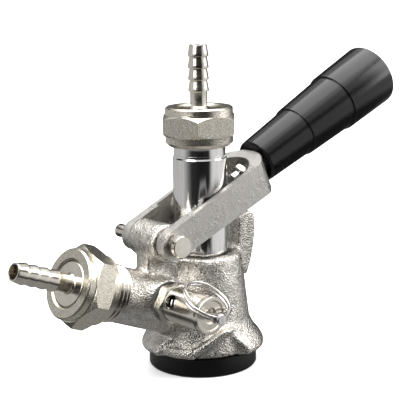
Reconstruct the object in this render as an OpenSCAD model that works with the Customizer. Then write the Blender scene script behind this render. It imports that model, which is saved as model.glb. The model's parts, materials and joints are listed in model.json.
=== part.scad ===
// Keg coupler: a cast body twists onto the keg by two lugs, and a lever drives the
// probe down through it. Beer leaves by the top tail, gas enters by the side arm.
// Millimetres. The origin is the centre of the base, +Z runs up the probe, the lever
// points to +X, the gas arm to -X, and the relief valve to -Y.

/* [Body casting] */
// Height of the foot's lower face over the surface that the coupler stands on
foot_z = 7.2; // [6:0.1:8]
// Radius of the foot at its lower face
foot_r = 21; // [20:0.1:21.4]
// Height of the waist, where the foot's cone meets the neck
waist_z = 18.6; // [17:0.1:20]
// Radius of the waist
waist_r = 18.8; // [18:0.1:19.6]
// Height of the neck's lower end
neck_z = 35; // [33:0.1:37]
// Radius of the neck's lower end
neck_r = 16.9; // [16.4:0.1:17.4]
// Height of the rim that the probe enters
rim_z = 45.3; // [44.4:0.1:45.6]
// Outer radius of the rim
rim_r = 15.6; // [15:0.1:16]
// Rounding of the rim's outer edge
rim_round = 0.9; // [0.5:0.1:1.5]
// Radius of the wide mouth inside the rim
mouth_r = 12; // [11.4:0.1:13]
// Depth of the wide mouth
mouth_d = 2.4; // [1.5:0.1:4]
// Radius of the gas chamber round the probe's foot
chamber_r = 13.2; // [12.4:0.1:14]
// Height of the gas chamber's roof
chamber_z = 23; // [22.6:0.1:24]

/* [Keg lugs] */
// Direction of the first lug, seen from above
lug_angle = 140; // [120:1:150]
// Radius over the two lugs
lug_r = 24.4; // [23.4:0.1:25]
// Width of a lug across its two flat ends
lug_w = 33; // [30:0.5:36]
// Height of a lug's lower face
lug_z = 7.5; // [7.4:0.1:8.4]
// Height of a lug's upright outer face
lug_face_h = 1.9; // [1:0.1:2.6]
// Height of a lug with its sloping back
lug_h = 7.3; // [6:0.1:8.5]
// Radius over the ramp that climbs from each lug
ramp_r = 22.4; // [21.8:0.1:23]
// Thickness of the ramp
ramp_t = 3.1; // [2.4:0.1:3.6]
// Slope of the ramp
ramp_tilt = 32; // [26:1:36]
// Height of the ramp's middle
ramp_mid_z = 14; // [13.4:0.1:14.6]
// Height where the ramp runs out
ramp_top_z = 18.8; // [18:0.1:20]

/* [Base seal] */
// Outer radius of the rubber ring under the foot
seal_r = 21.4; // [21:0.1:22.4]
// Radius of the ring's lower opening
seal_hole_r = 13.6; // [13:0.1:15]
// Thickness of the ring's floor
seal_floor = 2.6; // [2:0.1:3.2]
// Radius of the spigot of the body inside the ring
spigot_r = 18; // [17:0.1:18.6]

/* [Gas arm] */
// Height where the gas arm's axis crosses the probe's axis
gas_z = 19.7; // [19:0.1:20.4]
// Upward tilt of the gas arm
gas_tilt = 21.2; // [18:0.2:24]
// Radius of the arm at the body
gas_root_r = 11.4; // [11:0.1:12]
// Radius of the arm at its thread
gas_arm_r = 10.6; // [10.2:0.1:11]
// Distance along the arm to the thread's first turn
gas_thread_s = 46.2; // [44:0.1:47]
// Distance along the arm to its end face
gas_end_s = 59.8; // [58:0.1:62]
// Radius of the gas bore
gas_bore_r = 4.5; // [3.5:0.1:5]
// Radius of the seat for the check valve in the arm's end
duck_seat_r = 7.2; // [6.8:0.1:7.6]
// Depth of that seat
duck_seat_d = 8.4; // [7.6:0.1:9]

/* [Hose union] */
// Radius of the union thread, 7/8 inch
thread_r = 11.1; // [10.8:0.1:11.3]
// Pitch of the union thread, fourteen turns to the inch
thread_pitch = 1.814; // [1.5:0.001:2]
// Hexagon across its flats
nut_flats = 27.2; // [26.6:0.1:28]
// Radius of the two round collars of the nut
nut_collar_r = 13.1; // [12.8:0.1:13.4]
// Length of the union thread
union_thread_h = 7.3; // [6.6:0.1:8]
// Height of the whole nut
nut_h = 15.1; // [14.4:0.1:16]
// Height of the chamfered foot of the nut
nut_foot_h = 1.4; // [0.8:0.1:2]
// Height of the lower collar with the foot
nut_low_h = 4; // [3:0.1:5]
// Height of the upper collar
nut_top_h = 3.1; // [2.4:0.1:4]
// Thickness of the lip that holds the tailpiece
nut_lip_h = 3.1; // [2.4:0.1:3.6]
// Radius of the hole in the lip
nut_hole_r = 8.8; // [8.4:0.1:9.2]
// Turn of the beer nut's corners
beer_nut_turn_a = 48; // [0:1:59]
// Turn of the gas nut's corners
gas_nut_turn_a = 12; // [0:1:59]
// Thickness of the rubber washer in a union
washer_t = 1.95; // [1.5:0.05:2.5]
// Radius of the hole in that washer
washer_hole_r = 5.5; // [4.8:0.1:6]
// Radius of a tailpiece's flange
tail_flange_r = 10.3; // [9.8:0.1:10.6]
// Thickness of that flange
tail_flange_t = 2.6; // [2:0.1:3]
// Length of a tailpiece beyond the nut's face
tail_l = 23.4; // [22:0.1:26]
// Radius over the hose barbs, for a 5/16 inch hose
barb_r = 4; // [3.8:0.05:4.4]
// Radius of the stem between the barbs
barb_root_r = 3.35; // [3.2:0.05:3.6]
// Number of barbs
barb_n = 4; // [3:1:5]
// Height of one barb
barb_h = 4.42; // [3.8:0.01:4.5]
// Bore of a tailpiece
tail_bore_r = 2.75; // [2.4:0.05:3]

/* [Probe] */
// Radius of the polished probe tube
probe_r = 10.55; // [10.4:0.01:10.58]
// Height of the probe's lower end over the base
probe_low_z = 3; // [2.7:0.1:3.6]
// Height of the probe's top end
probe_top_z = 94.6; // [94:0.1:95]
// Length of the neck between the shoulder and the union thread
probe_neck_l = 3.3; // [2.8:0.1:4]
// Radius of the neck between shoulder and thread
probe_neck_r = 10.1; // [9.8:0.1:10.3]
// Bore of the probe
probe_bore_r = 4; // [3.4:0.1:4.4]
// Depth of the check ball's seat under the probe's top
ball_seat_d = 12.6; // [11.8:0.1:13.4]
// Radius of the check ball
ball_r = 5; // [4.8:0.1:5.2]
// Radius of the ball's chamber
ball_room_r = 6.4; // [6.2:0.1:6.8]
// Distance of a milled flat from the probe's axis
flat_y = 7.5; // [7.2:0.1:7.7]
// Height of the lower O-ring
oring_low_z = 34; // [33.6:0.1:35]
// Spacing of the two O-rings
oring_gap = 5.6; // [4.6:0.1:5.8]
// Section radius of an O-ring
oring_sec_r = 0.75; // [0.6:0.05:0.85]
// Radius of the rubber seal at the probe's foot
probe_seal_r = 9.4; // [8.8:0.1:10]
// Height of that seal
probe_seal_h = 5.6; // [5:0.1:6.4]
// Radius of the threaded ring that holds the seal
tip_r = 7.4; // [7:0.1:8]
// Height of that ring
tip_h = 2.2; // [1.8:0.1:2.6]
// Radius of the thin foot of the probe inside the seal
probe_stub_r = 5.2; // [5:0.1:5.6]
// Radius of the probe inside the gas chamber
probe_waist_r = 8.2; // [7.6:0.1:8.8]

/* [Hinge] */
// Distance of the hinge pin from the probe's axis
pin_x = 23; // [22.6:0.1:23.4]
// Height of the hinge pin
pin_z = 53.5; // [53.4:0.1:54]
// Radius of the hinge pin
pin_r = 2.65; // [2.4:0.01:2.8]
// Radius of the pin's head
pin_head_r = 4.25; // [3.8:0.05:4.6]
// Thickness of the pin's head
pin_head_t = 3.8; // [3:0.1:4.4]
// Length of the pin's plain end beyond the far arm
pin_tail_l = 9.8; // [6:0.1:11]
// Radius of the casting's hinge barrel
barrel_r = 7.2; // [6.8:0.1:7.4]
// Half length of the hinge barrel
barrel_half = 8.3; // [7.9:0.1:8.4]
// Half width of the web under the barrel
web_half = 3.9; // [3.4:0.1:4.4]
// Distance of the web's outer face from the probe's axis
web_x = 29.5; // [28.6:0.1:30]
// Outer radius of the retaining ring on the pin
clip_r = 4.4; // [4:0.1:5]
// Thickness of the retaining ring
clip_t = 0.9; // [0.7:0.1:1.2]

/* [Lever fork] */
// Angle of the raised lever over the level
lever_angle = 24; // [24:1:26]
// Half width over the two arms
fork_half = 12.9; // [12.7:0.1:13.3]
// Wall of an arm beside the probe
arm_t = 2; // [1.8:0.05:2.1]
// Thickness of an arm's hub
hub_t = 4.3; // [4:0.1:4.3]
// Radius of an arm's hub
hub_r = 6; // [5.6:0.1:6.4]
// Thickness of the bridge between the window and the grip
bridge_t = 5.5; // [4.8:0.1:6]
// Length of the bridge's rounding, from an arm's straight side to its outer face
bridge_round_l = 7.8; // [7:0.1:9]
// Height of an arm's top edge over the lever's axis at the bridge
fork_top = 5.8; // [5.4:0.1:6.2]
// Depth of an arm's lower edge under the lever's axis at the bridge
fork_low = 8.2; // [7.4:0.1:8.2]
// Distance of the cam pads from the pin, along the lever
cam_x = 24.2; // [24:0.1:24.4]
// Depth of the cam pads under the lever's axis
cam_drop = 0.9; // [0.6:0.1:1.2]
// Radius of a cam pad
cam_r = 5.7; // [5.4:0.1:5.9]
// Height of the ribs along the inside of an arm's hub end
arm_rib_h = 1.8; // [1.2:0.1:2.2]

/* [Latch] */
// Gap between the probe and the latch guide, level with the pin
guide_gap = 4.25; // [3.6:0.05:4.8]
// Thickness of the latch guide outward from the pin
guide_t = 9.1; // [8.4:0.1:9.6]
// Half thickness of the latch guide
guide_half = 6; // [5.6:0.1:6.4]
// Angle under the level where the latch guide ends
guide_low_a = 26; // [22:1:28]
// Angle over the level of the centre of the guide's round top
guide_top_a = 1.3; // [0.5:0.1:3]
// Depth that the latch nose reaches into the guide
nose_dip = 3.9; // [3.4:0.1:4.3]
// Radius of the latch nose
nose_r = 2.5; // [2.2:0.05:2.5]
// Gap between the guide and the latch nut
latch_gap = 0.5; // [0.4:0.1:0.7]
// Thickness of the latch nut
latch_nut_t = 2.4; // [2:0.1:2.5]
// Latch nut across its flats
latch_nut_flats = 7; // [6.5:0.1:7]
// Room that the latch nut has to be pulled outward
pull_room = 2; // [1.9:0.1:2.4]
// Radius of the pull rod
rod_r = 2; // [1.8:0.05:2.1]

/* [Grip] */
// Outer radius of the stem that carries the grip
stem_r = 5.4; // [5.2:0.1:5.6]
// Radius of the stem's room for the spring
stem_room_r = 4.2; // [4:0.1:4.4]
// Depth of the stem's inner end in the bridge
stem_inset = 0.2; // [0.1:0.1:0.8]
// Length of the stem
stem_l = 31; // [28:0.5:34]
// Length of the plug in the stem's outer end
plug_l = 3; // [2.4:0.1:4]
// Gap between the bridge and the grip's inner end
grip_gap = 0.5; // [0.4:0.1:0.9]
// Length of the grip's first cone
cone_1_l = 24.3; // [22:0.1:26]
// Radius of the first cone at the fork
cone_1_low_r = 9.25; // [9:0.05:9.6]
// Radius of the first cone at its step
cone_1_top_r = 10.45; // [10.2:0.05:10.8]
// Length of the grip's middle cone
cone_2_l = 24.6; // [22:0.1:26]
// Radius of the middle cone at its start
cone_2_low_r = 11.05; // [10.9:0.05:11.4]
// Radius of the middle cone at its step
cone_2_top_r = 12.3; // [12:0.05:12.6]
// Length of the grip's outer cone
cone_3_l = 25.6; // [23.5:0.1:28]
// Radius of the outer cone at its start
cone_3_low_r = 12.95; // [12.8:0.05:13.2]
// Radius of the outer cone at its end
cone_3_top_r = 13.7; // [13.5:0.05:14.2]
// Rounding of the steps' edges
grip_round = 0.7; // [0.4:0.1:1]
// Radius of the end cap's disc
cap_r = 12.3; // [11.8:0.1:12.6]
// Thickness of the end cap's disc
cap_t = 2; // [1.4:0.1:2.6]
// Outer radius of the threaded insert in the grip
insert_r = 4.6; // [4.2:0.1:5]
// Length of that insert
insert_l = 12; // [10:0.5:14]

/* [Relief valve] */
// Distance of the valve's axis from the probe's axis
relief_x = 26; // [25.6:0.1:26.4]
// Height of the valve's axis
relief_z = 32.2; // [31.8:0.1:32.4]
// Distance of the valve's gasket from the arm's middle plane
relief_seat_s = 11.2; // [11:0.1:11.6]
// Thickness of the gasket
gasket_t = 1; // [0.8:0.1:1.3]
// Valve's hexagon across its flats
relief_flats = 14.2; // [13.6:0.1:15]
// Height of the valve's hexagon
relief_hex_h = 4.4; // [3.6:0.1:5]
// Radius of the valve's barrel
relief_r = 6.75; // [6.5:0.05:7]
// Length of the barrel beyond the hexagon
relief_l = 16.9; // [15:0.1:18]
// Radius of the valve's inner room
relief_room_r = 5.2; // [5:0.1:5.4]
// Radius of the vent in the barrel's side
vent_r = 2.65; // [2.2:0.05:2.8]
// Direction of the vent over the level, on the outer side
vent_angle = 28; // [0:1:60]
// Thickness of the end cap's rim
relief_cap_t = 2.5; // [2:0.1:3]
// Radius of the end cap's rim
relief_cap_r = 6.95; // [6.8:0.05:7.2]
// Radius of the valve's stem
relief_stem_r = 1.6; // [1.4:0.05:1.8]
// Radius of the knob on the stem's end
knob_r = 2.05; // [2:0.05:2.3]
// Length of the knob
knob_l = 3.9; // [3.8:0.1:4.6]
// Gap between the end cap and the knob
knob_gap = 2.1; // [1.8:0.1:3]
// Radius of the pull ring, at the middle of its wire
ring_r = 9.1; // [9:0.1:10]
// Radius of the ring's wire
ring_wire_r = 0.45; // [0.4:0.01:0.48]
// Distance between the ring's two turns
ring_pitch = 1.35; // [1.32:0.01:1.36]
// Tilt of the ring, which leans back on the barrel
ring_tilt = 30; // [28:0.5:34]
// Turn of the knob's cross hole about the stem, by which the ring leans sideways
ring_roll = 12; // [0:1:14]

/* [Springs] */
// Radius of the lock spring, at the middle of its wire
lock_spring_r = 3.1; // [2.9:0.05:3.2]
// Radius of the lock spring's wire
lock_wire_r = 0.4; // [0.3:0.05:0.5]
// Turns of the lock spring
lock_turns = 9; // [7:1:11]
// Radius of the relief spring, at the middle of its wire
relief_spring_r = 3.5; // [3.2:0.1:3.8]
// Radius of the relief spring's wire
relief_wire_r = 0.4; // [0.3:0.05:0.5]
// Turns of the relief spring
relief_turns = 8; // [6:1:9]

/* [Fits] */
// Running clearance of a shaft in its bore, on the radius
run_fit = 0.05; // [0.02:0.01:0.08]
// Clearance of the probe in the body, on the radius
probe_fit = 0.08; // [0.05:0.01:0.1]
// Clearance between parts that move past each other
gap = 0.3; // [0.2:0.05:0.35]
// Clearance between parts that lie still in each other
still_fit = 0.05; // [0.02:0.01:0.1]

/* [Hidden] */
$fn = 96;

// Overrun of every cut past the face that it opens
over = 1;
// Small chamfer on turned edges
chamfer = 0.6;
// Length that is longer than any one piece
far = 200;

// Distances from the hinge pin along the lever, from the probe outward
guide_in_r = pin_x + probe_r + guide_gap;
guide_r = guide_in_r + guide_t;
nose_x = guide_r - nose_dip;
latch_nut_x = guide_r + latch_gap;
window_l = latch_nut_x + latch_nut_t + pull_room;
fork_l = window_l + bridge_t;
fork_corner_x = fork_l - bridge_round_l;
stem_x = window_l + stem_inset;
grip_x = fork_l + grip_gap;

// Body
body_bore_r = probe_r + probe_fit;
foot_rim_h = 1.4;
lug_back_shares = [[1, 0], [1, 0.26], [0.934, 0.66], [0.844, 1]];
flange_h = 3.8;
ramp_mid_a = 239 - 140;
ramp_from_a = 219 - 140;
ramp_to_a = 267 - 140;
flange_from_a = 178 - 140;
guide_cap_r = (guide_r - guide_in_r) / 2 + chamfer / 3;
scoop_r = 6;
scoop_depth = 1.2;
web_low_z = 38;
web_top_a = 20;
barrel_end_chamfer = 0.5;

// Union: heights along its own axis, from the nut's foot
beer_nut_z = probe_top_z - union_thread_h;
union_flange_z = union_thread_h + washer_t;
union_face_z = nut_h;
nut_room_r = thread_r + run_fit;
flange_play = nut_h - nut_lip_h - union_flange_z - tail_flange_t;
tail_neck_r = nut_hole_r - 2 * run_fit;
tail_sunk = 0.5;
gas_nut_s = gas_end_s - union_thread_h;

// Probe
probe_shoulder_z = beer_nut_z - probe_neck_l;
ball_seat_z = probe_top_z - ball_seat_d;
flat_top_z = pin_z + cam_world_z() + cam_r + gap;
flat_low_z = pin_z + cam_world_z() - cam_r - gap;
tube_low_z = chamber_z - gap - 1.2 * oring_sec_r;
oring_groove_d = 1.44;
oring_groove_r = probe_r - oring_groove_d;
oring_groove_h = 2.3;
oring_mid_r = body_bore_r - oring_sec_r - run_fit / 2;
probe_seal_z = probe_low_z + tip_h;
shoulder_z = probe_seal_z + probe_seal_h;
cone_h = 2.4;
cage_wall = 0.9;
cage_roof = 1.5;
cage_hole_r = 1.5;
cage_hole_at_r = 3.1;
cage_low_z = ball_seat_z + ball_r + 1.2 * ball_room_r / 6.4;
cage_top_z = probe_top_z - gap;
shoulder_ring_h = 0.9;
shoulder_ring_d = 0.35;

// Lever
bridge_arc_r = (pow(fork_half, 2) + pow(fork_l - fork_corner_x, 2)) / (2 * (fork_l - fork_corner_x));
arm_in = fork_half - arm_t;
hub_in = fork_half - hub_t;
rib_l = 13;
rib_t = 2.1;
cam_in = flat_y + gap;
stem_thread_r = 5;
stem_flange_x = fork_l + still_fit;
collar_x = fork_l + 2 * gap;
collar_t = 1.4;
collar_r = stem_room_r - gap;
plug_x = stem_x + stem_l - plug_l;
insert_play = 6;
insert_x = stem_x + stem_l + insert_play;
rod_end_x = insert_x + insert_l - over;
grip_l = cone_1_l + cone_2_l + cone_3_l;
grip_end_x = grip_x + grip_l;
grip_bore_r = stem_r + gap / 2;
grip_bore_l = insert_x - grip_x;
step_face_l = 0.8;

// Relief valve: distances along its own axis, from the arm's middle plane
relief_spigot_r = 4.9;
relief_spigot_s = 5.6;
relief_floor_s = relief_seat_s - chamfer / 3;
relief_hex_s = relief_seat_s + gasket_t;
relief_barrel_s = relief_hex_s + relief_hex_h;
relief_end_s = relief_barrel_s + relief_l;
relief_face_s = relief_end_s + relief_cap_t;
relief_passage_r = 2.5;
relief_boss_r = 8.3;
relief_seal_t = 1.4;
relief_seal_r = 4.5;
relief_head_t = 1.2;
relief_plug_l = 3.4;
relief_head_s = relief_floor_s + run_fit + relief_seal_t;
relief_spring_s = relief_head_s + relief_head_t;
vent_s = relief_barrel_s + vent_r + chamfer;
knob_s = relief_face_s + knob_gap;
knob_hole_s = knob_s + knob_l / 2;
knob_hole_r = ring_pitch / 2 + ring_wire_r + 0.3 * ring_wire_r;
cap_recess_r = 5.5;
cap_recess_d = 0.6;
cap_well_r = 2.9;
cap_well_d = 1.6;

// Height of the cam pads' centre over the hinge pin, with the lever raised
function cam_world_z() = cam_x * sin(lever_angle) - cam_drop * cos(lever_angle);

// Places a child in the gas arm's own frame, +Z outward along the arm
module at_gas() {
    translate([0, 0, gas_z]) rotate([0, gas_tilt - 90, 0]) children();
}

// Places a child in the lever's frame, +X along the handle from the hinge pin
module at_lever() {
    translate([-pin_x, 0, pin_z]) rotate([0, -lever_angle, 0]) children();
}

// Places a child along the handle's axis, +Z outward, starting x from the pin
module along_handle(x) {
    at_lever() translate([x, 0, 0]) rotate([0, 90, 0]) children();
}

// Places a child in the relief valve's frame, +Z outward along the valve
module at_relief(s) {
    translate([-relief_x, 0, relief_z]) rotate([90, 0, 0]) translate([0, 0, s]) children();
}

// A plain bar along Y, centred on the middle plane
module y_bar(r, half) {
    translate([0, half, 0]) rotate([90, 0, 0]) cylinder(r = r, h = 2 * half);
}

// A ring with a square section, its lower face at z = 0
module collar(r_out, r_in, h) {
    difference() {
        cylinder(r = r_out, h = h);
        translate([0, 0, -over]) cylinder(r = r_in, h = h + 2 * over);
    }
}

// A hexagonal prism with the corners turned down on both ends, as on a turned nut
module turned_hex(flats, h, turn_a) {
    corner_r = flats / 2 / cos(30);
    drop = (corner_r - flats / 2) * tan(30);
    intersection() {
        rotate(turn_a) cylinder(r = corner_r, h = h, $fn = 6);
        rotate_extrude() polygon([
            [0, 0], [flats / 2, 0], [corner_r + drop, drop * 2], [corner_r + drop, h - drop * 2],
            [flats / 2, h], [0, h]
        ]);
    }
}

// One unbroken wire wound as a helix, six sides, eight rings to a turn
module wire_coil(mid_r, wire_r, turns, pitch, rings_per_turn = 8) {
    sides = 6;
    n = turns * rings_per_turn;
    rise_a = atan2(pitch, 2 * PI * mid_r);
    points = [
        for (i = [0 : n])
            let (a = 360 * i / rings_per_turn, z = pitch * i / rings_per_turn)
                for (k = [0 : sides - 1])
                    let (
                        b = 360 * k / sides,
                        u = wire_r * cos(b),
                        v = wire_r * sin(b),
                        rr = mid_r + u,
                        t = -v * sin(rise_a)
                    )
                        [rr * cos(a) - t * sin(a), rr * sin(a) + t * cos(a), z + v * cos(rise_a)]
    ];
    sides_faces = [
        for (i = [0 : n - 1])
            for (k = [0 : sides - 1])
                let (a = i * sides + k, b = i * sides + (k + 1) % sides)
                    each [[a, a + sides, b], [b, a + sides, b + sides]]
    ];
    low_cap = [for (k = [1 : sides - 2]) [0, k, k + 1]];
    high_cap = [for (k = [1 : sides - 2]) [n * sides, n * sides + k + 1, n * sides + k]];
    polyhedron(points = points, faces = concat(sides_faces, low_cap, high_cap));
}

// Least gap between one turn of a coil and the next, measured on its rings' middles
function coil_gap(wire_r, pitch, mid_r) = pitch * cos(atan2(pitch, 2 * PI * mid_r)) - 2 * wire_r;

module lug_profile() {
    top = [for (p = lug_back_shares) [lug_r * p[0], lug_z + lug_h * p[1]]];
    polygon(concat([[0, lug_z]], top, [[waist_r, waist_z], [0, waist_z]]));
}

// A wedge of a disc between two directions, less than half a turn wide
module sector_2d(r, from_a, to_a) {
    mid_a = (from_a + to_a) / 2;
    reach = r / cos((to_a - from_a) / 4);
    intersection() {
        circle(r = r);
        polygon([
            [0, 0], reach * [cos(from_a), sin(from_a)],
            reach * [cos((from_a + mid_a) / 2), sin((from_a + mid_a) / 2)] / cos((to_a - from_a) / 8),
            reach * [cos(mid_a), sin(mid_a)] / cos((to_a - from_a) / 8),
            reach * [cos((to_a + mid_a) / 2), sin((to_a + mid_a) / 2)] / cos((to_a - from_a) / 8),
            reach * [cos(to_a), sin(to_a)]
        ]);
    }
}

// The two keg lugs, each with the flange and the ramp that climb away from it
module keg_lugs() {
    intersection() {
        rotate_extrude() lug_profile();
        rotate(lug_angle) translate([-far / 2, -lug_w / 2, 0]) cube([far, lug_w, far]);
    }
    for (side = [0, 180]) rotate(lug_angle + side) {
        translate([0, 0, lug_z]) linear_extrude(flange_h) sector_2d(ramp_r, flange_from_a, ramp_from_a + 3);
        intersection() {
            linear_extrude(ramp_top_z) sector_2d(ramp_r, ramp_from_a, ramp_to_a);
            translate([0, 0, lug_z]) cylinder(r = far, h = far);
            rotate(ramp_mid_a) translate([0, 0, ramp_mid_z]) rotate([ramp_tilt, 0, 0])
                translate([-far / 2, -far / 2, -ramp_t / 2]) cube([far, far, ramp_t]);
        }
    }
}

// Curved plate behind the probe, round-topped and concentric with the hinge pin
module latch_guide() {
    mid_r = (guide_r + guide_in_r) / 2;
    translate([-pin_x, guide_half, pin_z]) rotate([90, 0, 0]) linear_extrude(2 * guide_half) intersection() {
        difference() {
            circle(r = guide_r);
            circle(r = guide_in_r);
        }
        union() {
            sector_2d(fork_l, -guide_low_a, guide_top_a);
            translate(mid_r * [cos(guide_top_a), sin(guide_top_a)]) circle(r = guide_cap_r);
        }
    }
}

// Groove in the guide's outer edge, in which the latch nose travels down to its stop
module latch_groove() {
    stop_a = -asin((nose_r + gap) / nose_x);
    translate([-pin_x, nose_r + gap, pin_z]) rotate([90, 0, 0]) linear_extrude(2 * (nose_r + gap))
        difference() {
            sector_2d(fork_l, stop_a, lever_angle + 20);
            circle(r = nose_x - gap);
        }
}

// Hinge barrel on a web with scooped sides
module hinge_lug() {
    translate([-pin_x, 0, pin_z]) y_bar(barrel_r, barrel_half - barrel_end_chamfer);
    translate([-pin_x, 0, pin_z]) y_bar(barrel_r - barrel_end_chamfer, barrel_half);
    difference() {
        translate([0, web_half, 0]) rotate([90, 0, 0]) linear_extrude(2 * web_half) polygon([
            [-web_x, web_low_z], [-body_bore_r - over, web_low_z], [-body_bore_r - over, rim_z - rim_round],
            [-rim_r, rim_z - rim_round],
            [-pin_x + barrel_r * cos(web_top_a), pin_z - barrel_r * sin(web_top_a)],
            [-pin_x, pin_z], [-web_x, pin_z]
        ]);
        for (side = [-1, 1])
            translate([-pin_x + scoop_depth, side * (web_half + scoop_r - scoop_depth), 0])
                cylinder(r = scoop_r, h = pin_z - barrel_r / 2);
    }
}

module body_outside() {
    rotate_extrude() polygon([
        [0, seal_floor + still_fit], [spigot_r, seal_floor + still_fit], [spigot_r, foot_z], [foot_r, foot_z],
        [foot_r, foot_z + foot_rim_h], [waist_r, waist_z], [neck_r, neck_z],
        [rim_r, rim_z - rim_round], [rim_r - rim_round, rim_z], [0, rim_z]
    ]);
    keg_lugs();
    latch_guide();
    hinge_lug();
    at_gas() rotate_extrude() polygon([
        [0, 0], [gas_root_r, 0], [gas_arm_r, gas_thread_s], [thread_r, gas_thread_s + chamfer],
        [thread_r, gas_end_s - chamfer], [thread_r - chamfer, gas_end_s], [0, gas_end_s]
    ]);
    at_relief(0) cylinder(r = relief_boss_r, h = relief_seat_s);
}

module body_inside() {
    translate([0, 0, -over]) cylinder(r = chamber_r, h = chamber_z + over);
    cylinder(r = body_bore_r, h = rim_z + over);
    translate([0, 0, rim_z - mouth_d]) cylinder(r = mouth_r, h = rim_z);
    at_gas() {
        translate([0, 0, probe_r]) cylinder(r = gas_bore_r, h = far);
        translate([0, 0, gas_end_s - duck_seat_d]) cylinder(r = duck_seat_r, h = far);
    }
    at_relief(0) {
        cylinder(r = relief_passage_r, h = far);
        translate([0, 0, relief_spigot_s - still_fit]) cylinder(r = relief_spigot_r + still_fit, h = far);
    }
    translate([-pin_x, 0, pin_z]) y_bar(pin_r + run_fit, far);
    latch_groove();
}

module body() {
    color("silver") difference() {
        body_outside();
        body_inside();
    }
}

module base_seal() {
    color("black") difference() {
        rotate_extrude() polygon([
            [0, 0], [seal_r - chamfer, 0], [seal_r, chamfer], [seal_r, foot_z - chamfer / 3],
            [seal_r - chamfer / 3, foot_z], [0, foot_z]
        ]);
        translate([0, 0, -over]) cylinder(r = seal_hole_r, h = far);
        translate([0, 0, seal_floor]) cylinder(r = spigot_r + still_fit, h = far);
    }
}

module hinge_pin() {
    head_y = -fork_half - gap;
    end_y = fork_half + pin_tail_l;
    color("gainsboro") translate([-pin_x, head_y - pin_head_t, pin_z]) rotate([-90, 0, 0]) rotate_extrude()
        polygon([
            [0, 0], [pin_head_r - chamfer / 2, 0], [pin_head_r, chamfer / 2],
            [pin_head_r, pin_head_t], [pin_r, pin_head_t],
            [pin_r, clip_y() - head_y + pin_head_t], [clip_root_r(), clip_y() - head_y + pin_head_t],
            [clip_root_r(), clip_y() + clip_t + gap / 2 - head_y + pin_head_t],
            [pin_r, clip_y() + clip_t + gap / 2 - head_y + pin_head_t],
            [pin_r, end_y - head_y + pin_head_t - chamfer],
            [pin_r - chamfer, end_y - head_y + pin_head_t], [0, end_y - head_y + pin_head_t]
        ]);
}

// Place of the retaining ring along the pin, and the root of its groove
function clip_y() = fork_half + gap;
function clip_root_r() = pin_r - chamfer;

module pin_clip() {
    slot_w = clip_root_r() * sqrt(2);
    color("dimgray") translate([-pin_x, clip_y() + gap / 4, pin_z]) rotate([-90, 0, 0]) difference() {
        collar(clip_r, clip_root_r() + still_fit, clip_t);
        translate([-slot_w / 2, 0, -over]) cube([slot_w, far, far]);
    }
}

module probe_outside() {
    rotate_extrude() polygon([
        [0, probe_low_z], [probe_stub_r, probe_low_z], [probe_stub_r, shoulder_z],
        [probe_waist_r, shoulder_z], [probe_waist_r, tube_low_z - cone_h], [probe_r, tube_low_z],
        [probe_r, probe_shoulder_z - shoulder_ring_h - chamfer],
        [probe_r - shoulder_ring_d, probe_shoulder_z - shoulder_ring_h],
        [probe_r - shoulder_ring_d, probe_shoulder_z], [probe_neck_r, probe_shoulder_z],
        [probe_neck_r, beer_nut_z], [thread_r - chamfer, beer_nut_z],
        [thread_r, beer_nut_z + chamfer], [thread_r, probe_top_z - chamfer],
        [thread_r - chamfer, probe_top_z], [0, probe_top_z]
    ]);
}

module probe() {
    color("lightgray") difference() {
        probe_outside();
        translate([0, 0, -over]) cylinder(r = probe_bore_r, h = far);
        translate([0, 0, ball_seat_z]) cylinder(r = ball_room_r, h = far);
        for (z = [oring_low_z, oring_low_z + oring_gap])
            translate([0, 0, z - oring_groove_h / 2]) collar(probe_r + over, oring_groove_r, oring_groove_h);
        for (side = [0, 1]) mirror([0, side, 0])
            translate([-far / 2, flat_y, flat_low_z]) cube([far, far, flat_top_z - flat_low_z]);
    }
}

module probe_tip() {
    color("silver") translate([0, 0, probe_low_z]) difference() {
        rotate_extrude() polygon([
            [0, 0], [tip_r - chamfer, 0], [tip_r, chamfer], [tip_r, tip_h - still_fit], [0, tip_h - still_fit]
        ]);
        translate([0, 0, -over]) cylinder(r = probe_stub_r + still_fit, h = far);
    }
}

module probe_seal() {
    color("black") difference() {
        translate([0, 0, probe_seal_z]) rotate_extrude() polygon([
            [0, 0], [tip_r, 0], [probe_seal_r, tip_h], [probe_seal_r, probe_seal_h - tip_h],
            [probe_waist_r, probe_seal_h - still_fit], [0, probe_seal_h - still_fit]
        ]);
        cylinder(r = probe_stub_r + still_fit, h = far);
    }
}

module oring(z) {
    color("black") translate([0, 0, z]) rotate_extrude() translate([oring_mid_r, 0]) circle(r = oring_sec_r);
}

module upper_oring() {
    oring(oring_low_z + oring_gap);
}

module lower_oring() {
    oring(oring_low_z);
}

// The ball rests on the edge of the probe's bore
function ball_z() = ball_seat_z + sqrt(pow(ball_r, 2) - pow(probe_bore_r, 2)) + still_fit;

module check_ball() {
    color("white") translate([0, 0, ball_z()]) sphere(r = ball_r);
}

module ball_cage() {
    color("gray") difference() {
        translate([0, 0, cage_low_z]) cylinder(r = ball_room_r - still_fit, h = cage_top_z - cage_low_z);
        translate([0, 0, cage_low_z - over])
            cylinder(r = ball_room_r - cage_wall, h = cage_top_z - cage_roof - cage_low_z + over);
        for (a = [0 : 120 : 240]) rotate(a) translate([cage_hole_at_r, 0, 0]) cylinder(r = cage_hole_r, h = far);
    }
}

// Rubber washer of a union, on the end face of the thread
module union_washer() {
    collar(tail_flange_r, washer_hole_r, washer_t);
}

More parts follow.
